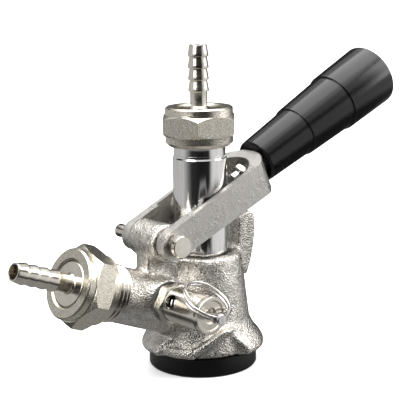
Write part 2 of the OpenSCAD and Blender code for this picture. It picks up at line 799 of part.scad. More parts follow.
// Barbed tail of a union, from its flange up
module union_tail() {
    face = union_face_z - union_flange_z - tail_sunk;
    tip = union_face_z - union_flange_z + tail_l;
    barb_from = tip - barb_n * barb_h;
    teeth = [
        for (i = [0 : barb_n - 1])
            each [
                [barb_root_r, barb_from + i * barb_h],
                [barb_r, barb_from + i * barb_h],
                [barb_r, barb_from + i * barb_h + chamfer],
                [barb_root_r, barb_from + (i + 1) * barb_h]
            ]
    ];
    difference() {
        rotate_extrude() polygon(concat(
            [
                [0, 0], [tail_flange_r, 0], [tail_flange_r, tail_flange_t], [tail_neck_r, tail_flange_t],
                [tail_neck_r, face - chamfer], [tail_neck_r - chamfer, face],
                [barb_root_r + chamfer, face], [barb_root_r, face + chamfer]
            ],
            teeth,
            [[0, tip]]
        ));
        translate([0, 0, -over]) cylinder(r = tail_bore_r, h = far);
    }
}

// Union nut: two collars, a hexagon with arched chamfers, and the lip inside
module union_nut(turn_a) {
    hex_h = nut_h - nut_low_h - nut_top_h;
    difference() {
        union() {
            rotate_extrude() polygon([
                [0, 0], [nut_collar_r - nut_foot_h, 0], [nut_collar_r, nut_foot_h],
                [nut_collar_r, nut_low_h], [nut_collar_r, nut_h - chamfer],
                [nut_collar_r - chamfer, nut_h], [0, nut_h]
            ]);
            translate([0, 0, nut_low_h]) turned_hex(nut_flats, hex_h, turn_a);
        }
        translate([0, 0, -over]) cylinder(r = nut_room_r, h = nut_h - nut_lip_h + over);
        translate([0, 0, -over]) cylinder(r = nut_hole_r, h = far);
        translate([0, 0, nut_h - chamfer]) cylinder(r1 = nut_hole_r, r2 = nut_hole_r + 2 * chamfer, h = 2 * chamfer);
    }
}

module beer_washer() {
    color("black") translate([0, 0, probe_top_z]) union_washer();
}

module beer_tailpiece() {
    color("silver") translate([0, 0, beer_nut_z + union_flange_z]) union_tail();
}

module beer_nut() {
    color("silver") translate([0, 0, beer_nut_z]) union_nut(beer_nut_turn_a);
}

module gas_washer() {
    color("black") at_gas() translate([0, 0, gas_end_s]) union_washer();
}

module gas_tailpiece() {
    color("silver") at_gas() translate([0, 0, gas_nut_s + union_flange_z]) union_tail();
}

module gas_nut() {
    color("silver") at_gas() translate([0, 0, gas_nut_s]) union_nut(gas_nut_turn_a);
}

// Rubber duckbill in the arm's end: a flange, a round neck and two lips that close
module gas_check_valve() {
    flange_t = 1.5 * duck_seat_r / 7.2;
    neck_r = 0.76 * duck_seat_r;
    lip_l = duck_seat_d - flange_t - 2 * gap;
    lip_half = 0.12 * duck_seat_r;
    slit_half = gap / 2;
    color("black") at_gas() translate([0, 0, gas_end_s]) rotate([180, 0, 0]) difference() {
        union() {
            cylinder(r = duck_seat_r - still_fit, h = flange_t);
            intersection() {
                cylinder(r = neck_r, h = flange_t + lip_l);
                translate([0, neck_r, 0]) rotate([90, 0, 0]) linear_extrude(2 * neck_r) polygon([
                    [-neck_r, 0], [neck_r, 0], [neck_r, flange_t + lip_l / 4], [lip_half, flange_t + lip_l],
                    [-lip_half, flange_t + lip_l], [-neck_r, flange_t + lip_l / 4]
                ]);
            }
        }
        translate([0, 0, -over]) cylinder(r = neck_r / 2, h = flange_t + lip_l / 2 + over);
        translate([-slit_half, -neck_r / 2, 0]) cube([2 * slit_half, neck_r, far]);
    }
}

// Outline of an arm from the side, in the lever's frame
module arm_side_2d() {
    circle(r = hub_r);
    polygon([[0, hub_r], [fork_l, fork_top], [fork_l, -fork_low], [0, -hub_r]]);
}

// Outline of the fork from above
module fork_plan_2d(half, corner_r, end_x) {
    intersection() {
        translate([-hub_r, -half]) square([hub_r + end_x, 2 * half]);
        union() {
            translate([end_x - corner_r, 0]) circle(r = corner_r);
            translate([-hub_r, -half]) square([hub_r + end_x - corner_r, 2 * half]);
        }
    }
}

module along_y_prism(half) {
    translate([0, half, 0]) rotate([90, 0, 0]) linear_extrude(2 * half) children();
}

// What one arm carries on its inner side: hub, two ribs and the cam pad
module arm_inside() {
    translate([0, -arm_in - arm_t / 2, 0]) rotate([-90, 0, 0]) cylinder(r = hub_r, h = arm_in - hub_in + arm_t / 2);
    intersection() {
        along_y_prism(arm_in + arm_t / 2) difference() {
            arm_side_2d();
            polygon([
                [0, hub_r - rib_t], [fork_l, fork_top - rib_t], [fork_l, rib_t - fork_low], [0, rib_t - hub_r]
            ]);
        }
        translate([0, -arm_in - arm_t / 2, -far / 2]) cube([rib_l, arm_rib_h + arm_t / 2, far]);
    }
    translate([cam_x, -arm_in - arm_t / 2, -cam_drop]) rotate([-90, 0, 0]) rotate_extrude() polygon([
        [0, 0], [cam_r, 0], [cam_r, arm_in - cam_in + arm_t / 2 - chamfer],
        [cam_r - chamfer, arm_in - cam_in + arm_t / 2], [0, arm_in - cam_in + arm_t / 2]
    ]);
}

module lever_fork() {
    color("darkgray") at_lever() difference() {
        union() {
            difference() {
                intersection() {
                    translate([0, 0, -far / 2]) linear_extrude(far) fork_plan_2d(fork_half, bridge_arc_r, fork_l);
                    along_y_prism(fork_half) arm_side_2d();
                }
                translate([0, 0, -far / 2]) linear_extrude(far) {
                    translate([-far, -arm_in]) square([far + window_l - arm_in, 2 * arm_in]);
                    translate([window_l - arm_in, 0]) circle(r = arm_in);
                }
            }
            for (side = [0, 1]) mirror([0, side, 0]) arm_inside();
        }
        y_bar(pin_r + run_fit, far);
        translate([window_l - over, 0, 0]) rotate([0, 90, 0]) cylinder(r = stem_thread_r + still_fit, h = far);
    }
}

// Steel stem screwed into the bridge, hollow for the spring and the pull rod
module handle_stem() {
    color("gray") along_handle(stem_x) difference() {
        union() {
            cylinder(r = stem_thread_r, h = stem_l);
            translate([0, 0, stem_flange_x - stem_x]) cylinder(r = stem_r, h = stem_l - stem_flange_x + stem_x);
        }
        translate([0, 0, -over]) cylinder(r = rod_r + run_fit, h = far);
        translate([0, 0, fork_l - stem_x]) cylinder(r = stem_room_r, h = far);
    }
}

module stem_plug() {
    color("dimgray") along_handle(plug_x) collar(stem_room_r - still_fit, rod_r + run_fit, plug_l);
}

// Pull rod with the latch nose at one end and a collar that the spring bears on
module lock_rod() {
    color("gainsboro") along_handle(nose_x) rotate_extrude() polygon([
        [0, 0], [nose_r - chamfer, 0], [nose_r, chamfer],
        [nose_r, latch_nut_x - nose_x - still_fit], [rod_r, latch_nut_x - nose_x - still_fit],
        [rod_r, collar_x - nose_x], [collar_r, collar_x - nose_x],
        [collar_r, collar_x + collar_t - nose_x], [rod_r, collar_x + collar_t - nose_x],
        [rod_r, rod_end_x - nose_x], [0, rod_end_x - nose_x]
    ]);
}

module lock_nut() {
    color("silver") along_handle(latch_nut_x) difference() {
        turned_hex(latch_nut_flats, latch_nut_t, 0);
        translate([0, 0, -over]) cylinder(r = rod_r + still_fit, h = far);
    }
}

module lock_spring() {
    low = collar_x + collar_t + lock_wire_r + still_fit;
    high = plug_x - lock_wire_r - still_fit;
    pitch = (high - low) / lock_turns;
    echo(spring = "lock", least_gap = coil_gap(lock_wire_r, pitch, lock_spring_r));
    color("silver") along_handle(low) wire_coil(lock_spring_r, lock_wire_r, lock_turns, pitch);
}

// Moulded grip: three cones, each larger than the last, with rounded step edges
module grip() {
    step_1 = cone_1_l;
    step_2 = cone_1_l + cone_2_l;
    color("black") along_handle(grip_x) difference() {
        rotate_extrude() polygon([
            [0, 0], [cone_1_low_r - grip_round, 0], [cone_1_low_r, grip_round],
            [cone_1_top_r, step_1], [cone_2_low_r - grip_round / 2, step_1],
            [cone_2_low_r, step_1 + grip_round], [cone_2_top_r, step_2],
            [cone_3_low_r - grip_round / 2, step_2], [cone_3_low_r, step_2 + grip_round],
            [cone_3_top_r, grip_l - 2 * grip_round], [cone_3_top_r - grip_round / 2, grip_l - grip_round],
            [cone_3_top_r - grip_round, grip_l - grip_round / 2], [cap_r + still_fit, grip_l - grip_round / 2],
            [0, grip_l - grip_round / 2]
        ]);
        translate([0, 0, -over]) cylinder(r = grip_bore_r, h = grip_bore_l + over);
        translate([0, 0, insert_x - grip_x - over]) cylinder(r = insert_r + still_fit, h = insert_l + over);
        translate([0, 0, grip_l - cap_t]) cylinder(r = cap_r + still_fit, h = far);
    }
}

module grip_insert() {
    color("darkgoldenrod") along_handle(insert_x) collar(insert_r, rod_r + still_fit, insert_l);
}

module grip_cap() {
    color("black") along_handle(grip_end_x - cap_t + still_fit) rotate_extrude() polygon([
        [0, 0], [cap_r, 0], [cap_r, cap_t - grip_round], [cap_r - grip_round, cap_t - still_fit],
        [0, cap_t - still_fit]
    ]);
}

module relief_gasket() {
    color("dimgray") at_relief(relief_seat_s)
        collar(relief_boss_r - chamfer, relief_spigot_r + still_fit, gasket_t);
}

// Valve body: threaded spigot, hexagon and barrel, with the vent in its side
module relief_body() {
    color("silver") at_relief(0) difference() {
        union() {
            translate([0, 0, relief_spigot_s]) cylinder(r = relief_spigot_r, h = relief_hex_s - relief_spigot_s + over);
            translate([0, 0, relief_hex_s]) turned_hex(relief_flats, relief_hex_h, 0);
            translate([0, 0, relief_hex_s + over]) cylinder(r = relief_r, h = relief_end_s - relief_hex_s - over);
        }
        cylinder(r = relief_passage_r, h = far);
        translate([0, 0, relief_floor_s]) cylinder(r = relief_seal_r + gap, h = far);
        translate([0, 0, relief_hex_s + over]) cylinder(r = relief_room_r, h = far);
        translate([0, 0, vent_s]) rotate([0, 0, 180 - vent_angle]) rotate([0, 90, 0])
            cylinder(r = vent_r, h = far);
    }
}

module relief_seal() {
    color("black") at_relief(relief_floor_s + run_fit) cylinder(r = relief_seal_r, h = relief_seal_t);
}

// Stem of the relief valve: head, rod and the cross-drilled knob outside
module relief_stem() {
    color("silver") at_relief(0) difference() {
        union() {
            translate([0, 0, relief_head_s]) cylinder(r = relief_seal_r, h = relief_head_t);
            translate([0, 0, relief_head_s]) cylinder(r = relief_stem_r, h = knob_s - relief_head_s + over);
            translate([0, 0, knob_s]) rotate_extrude() polygon([
                [0, 0], [knob_r - chamfer / 2, 0], [knob_r, chamfer / 2], [knob_r, knob_l - chamfer / 2],
                [knob_r - chamfer / 2, knob_l], [0, knob_l]
            ]);
        }
        rotate(-ring_roll) translate([-far / 2, 0, knob_hole_s]) rotate([0, 90, 0]) cylinder(r = knob_hole_r, h = far);
    }
}

module relief_spring() {
    low = relief_spring_s + relief_wire_r + still_fit;
    high = relief_end_s - relief_plug_l - relief_wire_r - still_fit;
    pitch = (high - low) / relief_turns;
    echo(spring = "relief", least_gap = coil_gap(relief_wire_r, pitch, relief_spring_r));
    color("silver") at_relief(low) wire_coil(relief_spring_r, relief_wire_r, relief_turns, pitch);
}

module relief_cap() {
    color("silver") at_relief(relief_end_s) difference() {
        union() {
            translate([0, 0, -relief_plug_l]) cylinder(r = relief_room_r - still_fit, h = relief_plug_l + over);
            translate([0, 0, still_fit]) cylinder(r = relief_cap_r, h = relief_cap_t - still_fit);
        }
        translate([0, 0, -far / 2]) cylinder(r = relief_stem_r + run_fit, h = far);
        translate([0, 0, relief_cap_t - cap_recess_d]) cylinder(r = cap_recess_r, h = far);
        translate([0, 0, relief_cap_t - cap_well_d]) cylinder(r = cap_well_r, h = far);
    }
}

// Split ring of two turns through the knob, leaning back on the valve's barrel
module pull_ring() {
    echo(coil = "ring", least_gap = coil_gap(ring_wire_r, ring_pitch, ring_r));
    middle_share = 0.75;
    color("silver") at_relief(knob_hole_s) rotate(-ring_roll) rotate([ring_tilt - 90, 0, 0])
        translate([0, ring_r, -middle_share * ring_pitch]) rotate(180)
            wire_coil(ring_r, ring_wire_r, 2, ring_pitch, 24);
}

body();
base_seal();
hinge_pin();
pin_clip();
probe();
probe_tip();
probe_seal();
upper_oring();
lower_oring();
check_ball();
ball_cage();
beer_washer();
beer_tailpiece();
beer_nut();
gas_check_valve();
gas_washer();
gas_tailpiece();
gas_nut();
lever_fork();
handle_stem();
stem_plug();
lock_rod();
lock_nut();
lock_spring();
grip();
grip_insert();
grip_cap();
relief_gasket();
relief_body();
relief_seal();
relief_stem();
relief_spring();
relief_cap();
pull_ring();
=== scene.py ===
"""Keg coupler: studio picture of the lever-operated tap head on its own."""
import json
import math

import bmesh
import bpy
import numpy as np
from mathutils import Matrix, Vector


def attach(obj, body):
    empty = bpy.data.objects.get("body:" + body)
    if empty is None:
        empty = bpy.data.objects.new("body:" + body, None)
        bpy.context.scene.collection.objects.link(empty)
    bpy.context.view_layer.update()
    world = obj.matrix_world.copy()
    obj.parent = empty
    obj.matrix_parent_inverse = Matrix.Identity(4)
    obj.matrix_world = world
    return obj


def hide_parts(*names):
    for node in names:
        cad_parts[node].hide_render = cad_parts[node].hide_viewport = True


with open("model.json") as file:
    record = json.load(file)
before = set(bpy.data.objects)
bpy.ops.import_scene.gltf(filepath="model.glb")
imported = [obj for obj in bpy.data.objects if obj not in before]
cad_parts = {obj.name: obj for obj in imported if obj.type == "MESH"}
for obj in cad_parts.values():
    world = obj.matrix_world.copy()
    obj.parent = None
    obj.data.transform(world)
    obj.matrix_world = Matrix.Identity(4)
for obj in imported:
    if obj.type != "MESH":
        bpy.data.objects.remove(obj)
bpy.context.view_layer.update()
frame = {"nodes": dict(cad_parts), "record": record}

MM = 0.001

# Sizes of the object that its drawn pieces share with the solids, in millimetres
PIN = Vector((-23.0, 0.0, 53.5))       # hinge pin
LEVER_ANGLE = math.radians(24.0)       # raised lever over the level
GAS_FOOT = Vector((0.0, 0.0, 19.7))    # where the gas arm's axis meets the probe's
GAS_TILT = math.radians(21.2)          # upward tilt of the gas arm
RELIEF = Vector((-26.0, 0.0, 32.2))    # relief valve's axis, along -Y
THREAD_PITCH = 25.4 / 14               # fourteen turns to the inch

GAS_AXIS = Vector((-math.cos(GAS_TILT), 0.0, math.sin(GAS_TILT)))
GRIP_AXIS = Vector((math.cos(LEVER_ANGLE), 0.0, math.sin(LEVER_ANGLE)))


def linear(hex_colour):
    """sRGB hex value as the linear colour that a shader takes."""
    parts = [int(hex_colour[i:i + 2], 16) / 255 for i in (0, 2, 4)]
    return [c / 12.92 if c <= 0.04045 else ((c + 0.055) / 1.055) ** 2.4 for c in parts] + [1.0]


def add(tree, kind, inputs=None, **settings):
    """Adds one node: settings are its own, inputs are constants or the sockets that feed it."""
    made = tree.nodes.new(kind)
    for name, value in settings.items():
        setattr(made, name, value)
    for name, value in (inputs or {}).items():
        if isinstance(value, bpy.types.NodeSocket):
            tree.links.new(value, made.inputs[name])
        else:
            made.inputs[name].default_value = value
    return made


def finish_named(name, **constants):
    """A material with its shader, its output and the object's own coordinates in metres."""
    material = bpy.data.materials.new(name)
    material.use_nodes = True
    tree = material.node_tree
    tree.nodes.clear()
    shader = add(tree, "ShaderNodeBsdfPrincipled", constants)
    add(tree, "ShaderNodeOutputMaterial", {"Surface": shader.outputs["BSDF"]})
    place = add(tree, "ShaderNodeTexCoord").outputs["Object"]
    return material, tree, shader, place


def shades(tree, fac, stops):
    """Colours along a ramp, given as (place, hex)."""
    ramp = add(tree, "ShaderNodeValToRGB", {"Fac": fac})
    ramp.color_ramp.elements[0].position, ramp.color_ramp.elements[1].position = stops[0][0], stops[-1][0]
    ramp.color_ramp.elements[0].color, ramp.color_ramp.elements[1].color = linear(stops[0][1]), linear(stops[-1][1])
    for place, colour in stops[1:-1]:
        ramp.color_ramp.elements.new(place).color = linear(colour)
    return ramp.outputs["Color"]


def tint(tree, shader, fac, stops):
    """Colours the shader along a ramp of (place, hex)."""
    tree.links.new(shades(tree, fac, stops), shader.inputs["Base Color"])


# ---------------------------------------------------------------- finishes

def nickel_plated_sand_casting():
    """Brass cast in sand, tumbled and nickel plated: pebbles of about 0.6 mm under a bright skin."""
    material, tree, shader, place = finish_named(
        "nickel_plated_sand_casting", **{"Metallic": 1.0, "Roughness": 0.28})
    pebbles = add(tree, "ShaderNodeTexVoronoi", {"Vector": place, "Scale": 1 / (0.62 * MM), "Randomness": 1.0},
                  feature="F1")
    waves = add(tree, "ShaderNodeTexNoise", {"Vector": place, "Scale": 1 / (2.2 * MM), "Detail": 3.0,
                                             "Roughness": 0.55})
    grit = add(tree, "ShaderNodeTexNoise", {"Vector": place, "Scale": 1 / (0.35 * MM), "Detail": 2.0})
    rolled = add(tree, "ShaderNodeBump", {"Height": waves.outputs["Fac"], "Strength": 0.25, "Distance": 0.3 * MM})
    pebbled = add(tree, "ShaderNodeBump", {"Height": pebbles.outputs["Distance"], "Strength": 1.0,
                                           "Distance": 0.22 * MM, "Normal": rolled.outputs["Normal"]})
    gritty = add(tree, "ShaderNodeBump", {"Height": grit.outputs["Fac"], "Strength": 0.7, "Distance": 0.16 * MM,
                                          "Normal": pebbled.outputs["Normal"]})
    tree.links.new(gritty.outputs["Normal"], shader.inputs["Normal"])
    tint(tree, shader, waves.outputs["Fac"], [(0.3, "B4B0A9"), (0.55, "D0CCC5"), (0.8, "DEDAD3")])
    rough = add(tree, "ShaderNodeMapRange", {"Value": grit.outputs["Fac"], "From Min": 0.3, "From Max": 0.7,
                                             "To Min": 0.14, "To Max": 0.3})
    tree.links.new(rough.outputs["Result"], shader.inputs["Roughness"])
    return material


def nickel_plated_turned_brass():
    """Brass turned on a lathe and nickel plated: bright, with a faint grain of 0.3 mm and soft smudges."""
    material, tree, shader, place = finish_named(
        "nickel_plated_turned_brass", **{"Metallic": 1.0, "Roughness": 0.16})
    smudges = add(tree, "ShaderNodeTexNoise", {"Vector": place, "Scale": 1 / (7 * MM), "Detail": 4.0})
    rings = add(tree, "ShaderNodeTexNoise", {"Vector": place, "Scale": 1 / (0.3 * MM), "Detail": 1.0})
    bump = add(tree, "ShaderNodeBump", {"Height": rings.outputs["Fac"], "Strength": 0.3, "Distance": 0.05 * MM})
    tree.links.new(bump.outputs["Normal"], shader.inputs["Normal"])
    tint(tree, shader, smudges.outputs["Fac"], [(0.3, "C6C0B5"), (0.7, "DCD7CD")])
    rough = add(tree, "ShaderNodeMapRange", {"Value": smudges.outputs["Fac"], "From Min": 0.3, "From Max": 0.7,
                                             "To Min": 0.12, "To Max": 0.24})
    tree.links.new(rough.outputs["Result"], shader.inputs["Roughness"])
    return material


def nickel_plated_milled_brass():
    """Hexagon brass bar, tumbled and nickel plated: a fine pitted grain of 0.4 mm on the flats and collars."""
    material, tree, shader, place = finish_named(
        "nickel_plated_milled_brass", **{"Metallic": 1.0, "Roughness": 0.26})
    pits = add(tree, "ShaderNodeTexNoise", {"Vector": place, "Scale": 1 / (0.4 * MM), "Detail": 2.0})
    bump = add(tree, "ShaderNodeBump", {"Height": pits.outputs["Fac"], "Strength": 0.6, "Distance": 0.12 * MM})
    tree.links.new(bump.outputs["Normal"], shader.inputs["Normal"])
    tint(tree, shader, pits.outputs["Fac"], [(0.35, "B2AC9F"), (0.65, "DCD7CB")])
    return material


def polished_stainless_tube():
    """Stainless bar ground and polished: nearly a mirror, with lengthwise hairlines."""
    material, tree, shader, place = finish_named(
        "polished_stainless_tube", **{"Metallic": 1.0, "Roughness": 0.12})
    along = add(tree, "ShaderNodeMapping", {"Vector": place, "Scale": (1.0, 1.0, 0.02)})
    hairs = add(tree, "ShaderNodeTexNoise", {"Vector": along.outputs["Vector"], "Scale": 1 / (0.25 * MM),
                                             "Detail": 2.0})
    bump = add(tree, "ShaderNodeBump", {"Height": hairs.outputs["Fac"], "Strength": 0.1, "Distance": 0.05 * MM})
    tree.links.new(bump.outputs["Normal"], shader.inputs["Normal"])
    tint(tree, shader, hairs.outputs["Fac"], [(0.3, "CBCAC9"), (0.7, "E0DFDE")])
    return material


def brushed_fork_steel():
    """Investment-cast stainless, linished across the arms: satin grey with short scratches and grain."""
    material, tree, shader, place = finish_named(
        "brushed_fork_steel", **{"Metallic": 1.0, "Roughness": 0.36})
    turned = add(tree, "ShaderNodeMapping", {"Vector": place, "Rotation": (0.0, LEVER_ANGLE, 0.0)})
    across = add(tree, "ShaderNodeMapping", {"Vector": turned.outputs["Vector"], "Scale": (1.0, 0.2, 0.2)})
    hairs = add(tree, "ShaderNodeTexNoise", {"Vector": across.outputs["Vector"], "Scale": 1 / (0.35 * MM),
                                             "Detail": 3.0})
    clouds = add(tree, "ShaderNodeTexNoise", {"Vector": place, "Scale": 1 / (6 * MM), "Detail": 3.0})
    grains = add(tree, "ShaderNodeTexNoise", {"Vector": place, "Scale": 1 / (0.4 * MM), "Detail": 3.0})
    scratched = add(tree, "ShaderNodeBump", {"Height": hairs.outputs["Fac"], "Strength": 0.9, "Distance": 0.12 * MM})
    bump = add(tree, "ShaderNodeBump", {"Height": grains.outputs["Fac"], "Strength": 1.0, "Distance": 0.2 * MM,
                                        "Normal": scratched.outputs["Normal"]})
    tree.links.new(bump.outputs["Normal"], shader.inputs["Normal"])
    tint(tree, shader, hairs.outputs["Fac"], [(0.25, "B0ADA8"), (0.75, "D2CFCA")])
    rough = add(tree, "ShaderNodeMapRange", {"Value": clouds.outputs["Fac"], "From Min": 0.3, "From Max": 0.7,
                                             "To Min": 0.24, "To Max": 0.36})
    tree.links.new(rough.outputs["Result"], shader.inputs["Roughness"])
    return material


def drawn_spring_wire():
    """Stainless wire, drawn bright: faintly clouded."""
    material, tree, shader, place = finish_named("drawn_spring_wire", **{"Metallic": 1.0, "Roughness": 0.2})
    streaks = add(tree, "ShaderNodeTexNoise", {"Vector": place, "Scale": 1 / (0.6 * MM), "Detail": 2.0})
    tint(tree, shader, streaks.outputs["Fac"], [(0.3, "BDBBB8"), (0.7, "DEDCD9")])
    return material


def moulded_glossy_plastic():
    """Black phenolic-like plastic moulded against a polished tool: deep gloss with a trace of orange peel."""
    material, tree, shader, place = finish_named(
        "moulded_glossy_plastic", **{"Roughness": 0.2, "IOR": 1.4})
    peel = add(tree, "ShaderNodeTexNoise", {"Vector": place, "Scale": 1 / (2.5 * MM), "Detail": 2.0})
    dust = add(tree, "ShaderNodeTexNoise", {"Vector": place, "Scale": 1 / (0.5 * MM), "Detail": 4.0})
    bump = add(tree, "ShaderNodeBump", {"Height": peel.outputs["Fac"], "Strength": 0.04, "Distance": 0.08 * MM})
    tree.links.new(bump.outputs["Normal"], shader.inputs["Normal"])
    tint(tree, shader, dust.outputs["Fac"], [(0.35, "040405"), (0.75, "0A0A0B")])
    rough = add(tree, "ShaderNodeMapRange", {"Value": dust.outputs["Fac"], "From Min": 0.3, "From Max": 0.7,
                                             "To Min": 0.17, "To Max": 0.26})
    tree.links.new(rough.outputs["Result"], shader.inputs["Roughness"])
    return material


def moulded_nitrile_rubber():
    """Black nitrile pressed in a matt tool: satin, with a fine even grain."""
    material, tree, shader, place = finish_named("moulded_nitrile_rubber", **{"Roughness": 0.4, "IOR": 1.35})
    grain = add(tree, "ShaderNodeTexNoise", {"Vector": place, "Scale": 1 / (0.4 * MM), "Detail": 3.0})
    bump = add(tree, "ShaderNodeBump", {"Height": grain.outputs["Fac"], "Strength": 0.2, "Distance": 0.06 * MM})
    tree.links.new(bump.outputs["Normal"], shader.inputs["Normal"])
    tint(tree, shader, grain.outputs["Fac"], [(0.3, "020202"), (0.7, "070707")])
    return material


def moulded_acetal():
    """White acetal, moulded: milky and slightly glossy."""
    material, tree, shader, place = finish_named("moulded_acetal", **{"Roughness": 0.3, "IOR": 1.48})
    milk = add(tree, "ShaderNodeTexNoise", {"Vector": place, "Scale": 1 / (2 * MM)})
    tint(tree, shader, milk.outputs["Fac"], [(0.3, "E6E4DE"), (0.7, "F2F0EB")])
    return material


def pressed_fibre():
    """Grey fibre gasket, pressed: matt with short fibres."""
    material, tree, shader, place = finish_named("pressed_fibre", **{"Roughness": 0.8})
    fibres = add(tree, "ShaderNodeTexNoise", {"Vector": place, "Scale": 1 / (0.5 * MM), "Detail": 5.0})
    tint(tree, shader, fibres.outputs["Fac"], [(0.3, "2E2E2D"), (0.7, "4A4A48")])
    return material


def turned_brass():
    """Brass insert, turned and left bare: slightly tarnished."""
    material, tree, shader, place = finish_named("turned_brass", **{"Metallic": 1.0, "Roughness": 0.28})
    tarnish = add(tree, "ShaderNodeTexNoise", {"Vector": place, "Scale": 1 / (3 * MM), "Detail": 3.0})
    tint(tree, shader, tarnish.outputs["Fac"], [(0.3, "B08D4A"), (0.7, "D0AC66")])
    return material


MILLED_NODES = ("beer_nut", "gas_nut")

FINISHES = {
    "milled": nickel_plated_milled_brass(),
    "cast_plated": nickel_plated_sand_casting(),
    "plated": nickel_plated_turned_brass(),
    "stainless": polished_stainless_tube(),
    "fork_steel": brushed_fork_steel(),
    "spring_steel": drawn_spring_wire(),
    "rubber": moulded_nitrile_rubber(),
    "nylon": moulded_acetal(),
    "nylon_dark": pressed_fibre(),
    "grip_plastic": moulded_glossy_plastic(),
    "brass": turned_brass(),
}


def dress(piece, slot_name):
    """Gives a piece the one finish of its slot."""
    piece.data.materials.clear()
    piece.data.materials.append(FINISHES[slot_name])


# ---------------------------------------------------------------- shapes

# How the casting's skin is made: voxel in millimetres, rounds that fill hollows, the first of them that also
# wear corners, the share of the way moved in each, and the hollow in millimetres from which filling starts
VOXEL, FILL_ROUNDS, WEAR_ROUNDS, PULL_SHARE, HOLLOW_FROM = 0.42, 70, 12, 0.6, 0.004
THREAD_ROOT_R = 10.3   # skin of the casting under the gas thread's separate crests
CAST_LUG_TOP, CAST_FILL_RISE = 14.0, 8.0   # fillets are full only this far above the foot and its lugs

def piece_from(name, verts, faces, body, slot_name, smooth_angle=None):
    """A new piece of the coupler from points in millimetres, riding on its body."""
    mesh = bpy.data.meshes.new(name)
    mesh.from_pydata([tuple(c * MM for c in v) for v in verts], [], faces)
    mesh.update()
    piece = bpy.data.objects.new(name, mesh)
    bpy.context.scene.collection.objects.link(piece)
    mesh.shade_smooth()
    if smooth_angle is not None:
        mesh.set_sharp_from_angle(angle=math.radians(smooth_angle))
    dress(piece, slot_name)
    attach(piece, body)
    return piece


def rounded(profile, radii, steps=5):
    """A profile of (radius, height) with its corners rounded by the radius given for each, zero for none."""
    out = []
    for i, (point, radius) in enumerate(zip(profile, radii)):
        if radius <= 0 or i in (0, len(profile) - 1):
            out.append(point)
            continue
        here, before, after = Vector(point), Vector(profile[i - 1]), Vector(profile[i + 1])
        a, b = (before - here).normalized(), (after - here).normalized()
        half = a.angle(b) / 2
        reach = min(radius / math.tan(half), (before - here).length * 0.49, (after - here).length * 0.49)
        start, end = here + a * reach, here + b * reach
        for k in range(steps + 1):
            t = k / steps
            out.append(tuple(start * (1 - t) ** 2 + here * 2 * t * (1 - t) + end * t ** 2))
    return out


def turned(profile, foot, axis, sides=128):
    """Points and faces of a closed turned form: (radius, height) pairs about an axis from its foot."""
    axis = Vector(axis).normalized()
    side = axis.orthogonal().normalized()
    other = axis.cross(side)
    verts, faces, rings = [], [], []
    for radius, height in profile:
        if radius < 1e-6:
            rings.append([len(verts)])
            verts.append(foot + axis * height)
            continue
        ring = []
        for k in range(sides):
            a = 2 * math.pi * k / sides
            ring.append(len(verts))
            verts.append(foot + axis * height + (side * math.cos(a) + other * math.sin(a)) * radius)
        rings.append(ring)
    for low, high in zip(rings, rings[1:]):
        for k in range(sides):
            n = (k + 1) % sides
            if len(low) == 1:
                faces.append((low[0], high[n], high[k]))
            elif len(high) == 1:
                faces.append((low[k], low[n], high[0]))
            else:
                faces.append((low[k], low[n], high[n], high[k]))
    return verts, faces


def threaded_sleeve(foot, axis, from_s, to_s, crest_r, depth, sides=120, rows_per_turn=12):
    """A helical thread as one skin: crests of the real pitch that fade out at both ends."""
    axis = Vector(axis).normalized()
    side = axis.orthogonal().normalized()
    other = axis.cross(side)
    rows = int((to_s - from_s) / THREAD_PITCH * rows_per_turn)
    verts, faces = [], []
    for i in range(rows + 1):
        s = from_s + (to_s - from_s) * i / rows
        fade = min(1.0, (s - from_s) / (0.35 * THREAD_PITCH), (to_s - s) / (0.35 * THREAD_PITCH))
        for k in range(sides):
            turn = k / sides
            phase = (s / THREAD_PITCH - turn) % 1.0
            crest = min(1.0, max(0.0, 2.6 * (0.5 - abs(phase - 0.5)) - 0.15)) * max(fade, 0.0)
            a = 2 * math.pi * turn
            radius = crest_r - depth + depth * crest
            verts.append(foot + axis * s + (side * math.cos(a) + other * math.sin(a)) * radius)
    for i in range(rows):
        for k in range(sides):
            n = (k + 1) % sides
            faces.append((i * sides + k, i * sides + n, (i + 1) * sides + n, (i + 1) * sides + k))
    return verts, faces


